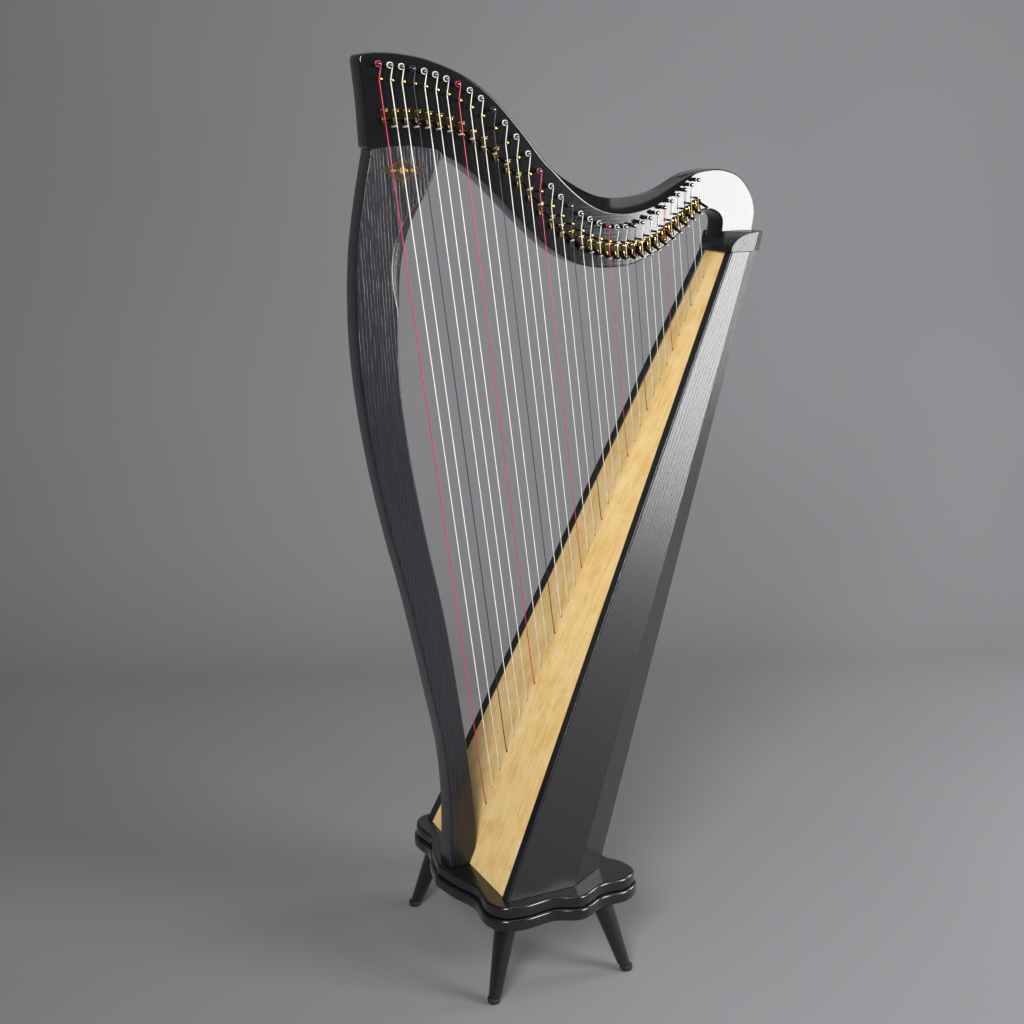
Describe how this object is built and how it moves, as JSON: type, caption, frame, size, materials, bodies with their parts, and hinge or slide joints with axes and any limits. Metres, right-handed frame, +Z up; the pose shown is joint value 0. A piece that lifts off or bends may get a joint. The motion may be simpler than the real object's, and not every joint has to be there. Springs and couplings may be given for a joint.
{
  "type": "lever harp",
  "caption": "Floor-standing lever harp with a black-stained ash frame, light soundboard, curved pillar and a base on splayed legs; every string has a sharping lever that turns.",
  "frame": {"origin": "on the floor under the middle of the harp's box", "axes": "+X from the pillar towards the soundbox and the player, +Z up, strings and levers on the -Y side of the neck"},
  "size_m": [0.6912, 0.4024, 1.45],
  "materials": {
    "black_wood": "satin",
    "soundboard_wood": "satin",
    "inner_wood": "matte",
    "lever_metal": "satin",
    "string_steel": "satin",
    "badge_brass": "polished",
    "glide_plastic": "matte",
    "bolt_steel": "satin"
  },
  "bodies": {
    "frame": {"badge": "badge_brass", "base_lower_board": "black_wood", "base_upper_board": "black_wood", "edge_strip_left": "black_wood", "edge_strip_right": "black_wood", "leg_front_left": "black_wood", "leg_front_right": "black_wood", "leg_glide_front_left": "glide_plastic", "leg_glide_front_right": "glide_plastic", "leg_glide_rear_left": "glide_plastic", "leg_glide_rear_right": "glide_plastic", "leg_rear_left": "black_wood", "leg_rear_right": "black_wood", "neck": "black_wood", "pillar": "black_wood", "pillar_bolt": "bolt_steel", "shoulder_cap": "black_wood", "soundboard": "soundboard_wood", "soundbox_back": "black_wood", "soundbox_foot_block": "inner_wood", "soundbox_head_block": "inner_wood", "soundbox_rear_panel_left": "black_wood", "soundbox_rear_panel_right": "black_wood", "soundbox_side_left": "black_wood", "soundbox_side_right": "black_wood", "strings": "string_steel"},
    "lever_01": {"lever_01": "lever_metal"},
    "lever_02": {"lever_02": "lever_metal"},
    "lever_03": {"lever_03": "lever_metal"},
    "lever_04": {"lever_04": "lever_metal"},
    "lever_05": {"lever_05": "lever_metal"},
    "lever_06": {"lever_06": "lever_metal"},
    "lever_07": {"lever_07": "lever_metal"},
    "lever_08": {"lever_08": "lever_metal"},
    "lever_09": {"lever_09": "lever_metal"},
    "lever_10": {"lever_10": "lever_metal"},
    "lever_11": {"lever_11": "lever_metal"},
    "lever_12": {"lever_12": "lever_metal"},
    "lever_13": {"lever_13": "lever_metal"},
    "lever_14": {"lever_14": "lever_metal"},
    "lever_15": {"lever_15": "lever_metal"},
    "lever_16": {"lever_16": "lever_metal"},
    "lever_17": {"lever_17": "lever_metal"},
    "lever_18": {"lever_18": "lever_metal"},
    "lever_19": {"lever_19": "lever_metal"},
    "lever_20": {"lever_20": "lever_metal"},
    "lever_21": {"lever_21": "lever_metal"},
    "lever_22": {"lever_22": "lever_metal"},
    "lever_23": {"lever_23": "lever_metal"},
    "lever_24": {"lever_24": "lever_metal"},
    "lever_25": {"lever_25": "lever_metal"},
    "lever_26": {"lever_26": "lever_metal"},
    "lever_27": {"lever_27": "lever_metal"},
    "lever_28": {"lever_28": "lever_metal"},
    "lever_29": {"lever_29": "lever_metal"},
    "lever_30": {"lever_30": "lever_metal"},
    "lever_31": {"lever_31": "lever_metal"},
    "lever_32": {"lever_32": "lever_metal"},
    "lever_33": {"lever_33": "lever_metal"},
    "lever_34": {"lever_34": "lever_metal"}
  },
  "joints": [
    {"name": "lever_01_turn", "type": "hinge", "parent": "frame", "child": "lever_01", "pos_m": [-0.29875, -0.026, 1.35692], "axis": [-0.9889, 0, -0.1483], "range_deg": [0, 83]},
    {"name": "lever_02_turn", "type": "hinge", "parent": "frame", "child": "lever_02", "pos_m": [-0.28166, -0.026, 1.35664], "axis": [-0.9889, 0, -0.1483], "range_deg": [0, 81.6]},
    {"name": "lever_03_turn", "type": "hinge", "parent": "frame", "child": "lever_03", "pos_m": [-0.26457, -0.026, 1.35634], "axis": [-0.989, 0, -0.1482], "range_deg": [0, 80.2]},
    {"name": "lever_04_turn", "type": "hinge", "parent": "frame", "child": "lever_04", "pos_m": [-0.24758, -0.026, 1.35519], "axis": [-0.9889, 0, -0.1483], "range_deg": [0, 78.7]},
    {"name": "lever_05_turn", "type": "hinge", "parent": "frame", "child": "lever_05", "pos_m": [-0.23051, -0.026, 1.35303], "axis": [-0.9889, 0, -0.1484], "range_deg": [0, 77.3]},
    {"name": "lever_06_turn", "type": "hinge", "parent": "frame", "child": "lever_06", "pos_m": [-0.21355, -0.026, 1.34999], "axis": [-0.9889, 0, -0.1486], "range_deg": [0, 75.9]},
    {"name": "lever_07_turn", "type": "hinge", "parent": "frame", "child": "lever_07", "pos_m": [-0.19672, -0.026, 1.34557], "axis": [-0.9888, 0, -0.1491], "range_deg": [0, 74.5]},
    {"name": "lever_08_turn", "type": "hinge", "parent": "frame", "child": "lever_08", "pos_m": [-0.17866, -0.026, 1.33914], "axis": [-0.9889, 0, -0.1485], "range_deg": [0, 73]},
    {"name": "lever_09_turn", "type": "hinge", "parent": "frame", "child": "lever_09", "pos_m": [-0.16022, -0.026, 1.32761], "axis": [-0.9889, 0, -0.1483], "range_deg": [0, 71.6]},
    {"name": "lever_10_turn", "type": "hinge", "parent": "frame", "child": "lever_10", "pos_m": [-0.1428, -0.026, 1.31758], "axis": [-0.9889, 0, -0.1488], "range_deg": [0, 70.2]},
    {"name": "lever_11_turn", "type": "hinge", "parent": "frame", "child": "lever_11", "pos_m": [-0.12366, -0.026, 1.30226], "axis": [-0.989, 0, -0.1482], "range_deg": [0, 68.8]},
    {"name": "lever_12_turn", "type": "hinge", "parent": "frame", "child": "lever_12", "pos_m": [-0.10516, -0.026, 1.2841], "axis": [-0.9889, 0, -0.1488], "range_deg": [0, 67.3]},
    {"name": "lever_13_turn", "type": "hinge", "parent": "frame", "child": "lever_13", "pos_m": [-0.08693, -0.026, 1.26503], "axis": [-0.9887, 0, -0.1499], "range_deg": [0, 65.9]},
    {"name": "lever_14_turn", "type": "hinge", "parent": "frame", "child": "lever_14", "pos_m": [-0.0681, -0.026, 1.24315], "axis": [-0.9886, 0, -0.1508], "range_deg": [0, 64.5]},
    {"name": "lever_15_turn", "type": "hinge", "parent": "frame", "child": "lever_15", "pos_m": [-0.04958, -0.026, 1.22028], "axis": [-0.9883, 0, -0.1525], "range_deg": [0, 63.1]},
    {"name": "lever_16_turn", "type": "hinge", "parent": "frame", "child": "lever_16", "pos_m": [-0.0306, -0.026, 1.20046], "axis": [-0.9883, 0, -0.1527], "range_deg": [0, 61.6]},
    {"name": "lever_17_turn", "type": "hinge", "parent": "frame", "child": "lever_17", "pos_m": [-0.01422, -0.026, 1.18773], "axis": [-0.9878, 0, -0.1557], "range_deg": [0, 60.2]},
    {"name": "lever_18_turn", "type": "hinge", "parent": "frame", "child": "lever_18", "pos_m": [0.00247, -0.026, 1.17711], "axis": [-0.9875, 0, -0.1576], "range_deg": [0, 58.8]},
    {"name": "lever_19_turn", "type": "hinge", "parent": "frame", "child": "lever_19", "pos_m": [0.01944, -0.026, 1.16848], "axis": [-0.9874, 0, -0.1583], "range_deg": [0, 57.4]},
    {"name": "lever_20_turn", "type": "hinge", "parent": "frame", "child": "lever_20", "pos_m": [0.03506, -0.026, 1.16251], "axis": [-0.9869, 0, -0.1612], "range_deg": [0, 55.9]},
    {"name": "lever_21_turn", "type": "hinge", "parent": "frame", "child": "lever_21", "pos_m": [0.0509, -0.026, 1.15814], "axis": [-0.9866, 0, -0.163], "range_deg": [0, 54.5]},
    {"name": "lever_22_turn", "type": "hinge", "parent": "frame", "child": "lever_22", "pos_m": [0.06671, -0.026, 1.15547], "axis": [-0.9864, 0, -0.1641], "range_deg": [0, 53.1]},
    {"name": "lever_23_turn", "type": "hinge", "parent": "frame", "child": "lever_23", "pos_m": [0.0815, -0.026, 1.1545], "axis": [-0.9859, 0, -0.1674], "range_deg": [0, 51.7]},
    {"name": "lever_24_turn", "type": "hinge", "parent": "frame", "child": "lever_24", "pos_m": [0.09627, -0.026, 1.155], "axis": [-0.9854, 0, -0.1703], "range_deg": [0, 50.2]},
    {"name": "lever_25_turn", "type": "hinge", "parent": "frame", "child": "lever_25", "pos_m": [0.11073, -0.026, 1.15723], "axis": [-0.9849, 0, -0.1733], "range_deg": [0, 48.8]},
    {"name": "lever_26_turn", "type": "hinge", "parent": "frame", "child": "lever_26", "pos_m": [0.12466, -0.026, 1.16142], "axis": [-0.9842, 0, -0.1772], "range_deg": [0, 47.4]},
    {"name": "lever_27_turn", "type": "hinge", "parent": "frame", "child": "lever_27", "pos_m": [0.13829, -0.026, 1.1673], "axis": [-0.9834, 0, -0.1813], "range_deg": [0, 46]},
    {"name": "lever_28_turn", "type": "hinge", "parent": "frame", "child": "lever_28", "pos_m": [0.1514, -0.026, 1.17435], "axis": [-0.9824, 0, -0.187], "range_deg": [0, 44.5]},
    {"name": "lever_29_turn", "type": "hinge", "parent": "frame", "child": "lever_29", "pos_m": [0.16397, -0.026, 1.18297], "axis": [-0.9809, 0, -0.1943], "range_deg": [0, 43.1]},
    {"name": "lever_30_turn", "type": "hinge", "parent": "frame", "child": "lever_30", "pos_m": [0.176, -0.026, 1.1928], "axis": [-0.979, 0, -0.2038], "range_deg": [0, 41.7]},
    {"name": "lever_31_turn", "type": "hinge", "parent": "frame", "child": "lever_31", "pos_m": [0.18797, -0.026, 1.20253], "axis": [-0.9767, 0, -0.2146], "range_deg": [0, 40.3]},
    {"name": "lever_32_turn", "type": "hinge", "parent": "frame", "child": "lever_32", "pos_m": [0.19981, -0.026, 1.21154], "axis": [-0.9736, 0, -0.2285], "range_deg": [0, 38.8]},
    {"name": "lever_33_turn", "type": "hinge", "parent": "frame", "child": "lever_33", "pos_m": [0.21159, -0.026, 1.22045], "axis": [-0.9696, 0, -0.2447], "range_deg": [0, 37.4]},
    {"name": "lever_34_turn", "type": "hinge", "parent": "frame", "child": "lever_34", "pos_m": [0.22338, -0.026, 1.22935], "axis": [-0.9646, 0, -0.2635], "range_deg": [0, 36]}
  ]
}
